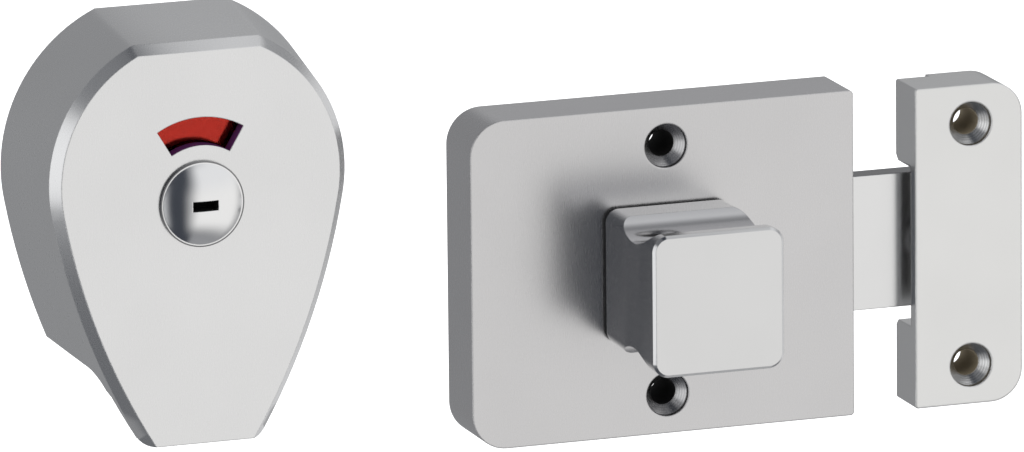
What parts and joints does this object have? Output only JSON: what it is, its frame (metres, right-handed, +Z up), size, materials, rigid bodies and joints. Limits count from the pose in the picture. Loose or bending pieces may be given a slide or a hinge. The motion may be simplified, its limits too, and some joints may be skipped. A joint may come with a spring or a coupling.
{
  "type": "toilet indicator bolt",
  "caption": "Surface-mounted toilet bolt with a turn knob, rack-driven bolt and keeper, and an outside indicator with coin release and finger pull.",
  "frame": {"origin": "where the knob's axis meets the door face, midway between the two fixing screws of the bolt case", "axes": "+X the way the bolt throws, +Y into the door, +Z up; the visible faces look along -Y"},
  "size_m": [0.2209, 0.0765, 0.0982],
  "materials": {
    "satin_chrome_case": "satin chrome plate on zinc",
    "satin_chrome_bolt": "satin chrome plate on steel",
    "satin_chrome_knob": "satin chrome plate on zinc",
    "satin_chrome_keeper": "satin chrome plate on zinc",
    "satin_chrome_housing": "satin chrome plate on zinc",
    "bright_chrome": "polished",
    "zinc_steel": "zinc plated",
    "sintered_steel": "oiled",
    "spring_steel": "blued",
    "natural_nylon": "moulded",
    "black_rubber": "moulded",
    "grey_buffer": "moulded",
    "brass_insert": "turned",
    "clear_lens": "clear",
    "white_plastic": "moulded",
    "red_colour": "gloss",
    "green_colour": "gloss"
  },
  "bodies": {
    "fixed": {"bolt_case": "satin_chrome_case", "back_cover": "zinc_steel", "back_cover_screws": "zinc_steel", "bolt_guides": "natural_nylon", "knob_bush": "natural_nylon", "wave_washer": "spring_steel", "keeper_body": "satin_chrome_keeper", "keeper_buffer": "grey_buffer", "indicator_housing": "satin_chrome_housing", "indicator_cover": "zinc_steel", "indicator_cover_screws": "zinc_steel", "threaded_inserts": "brass_insert", "window_lens": "clear_lens", "dome_bush": "natural_nylon"},
    "knob": {"turn_knob": "satin_chrome_knob", "knob_spindle": "zinc_steel", "pinion": "sintered_steel", "knob_circlip": "spring_steel", "knob_gasket": "black_rubber"},
    "bolt": {"slide_bolt": "satin_chrome_bolt"},
    "dome": {"release_dome": "bright_chrome", "dome_circlip": "spring_steel", "indicator_disc": "white_plastic", "red_sector": "red_colour", "vacant_sector": "green_colour"}
  },
  "joints": [
    {"name": "knob_turn", "type": "hinge", "parent": "fixed", "child": "knob", "pos_m": [0, -0.015, 0], "axis": [0, -1, 0], "range_deg": [0, 90]},
    {"name": "bolt_slide", "type": "slide", "parent": "fixed", "child": "bolt", "axis": [1, 0, 0], "range_m": [-0.0189, 0]},
    {"name": "dome_turn", "type": "hinge", "parent": "fixed", "child": "dome", "pos_m": [-0.1052, -0.0254, 0.0257], "axis": [0, -1, 0], "range_deg": [-90, 0]}
  ],
  "couplings": [
    {"joint": "bolt_slide", "follows": "knob_turn", "m_per_rad": -0.012},
    {"joint": "dome_turn", "follows": "knob_turn", "ratio": -1}
  ]
}
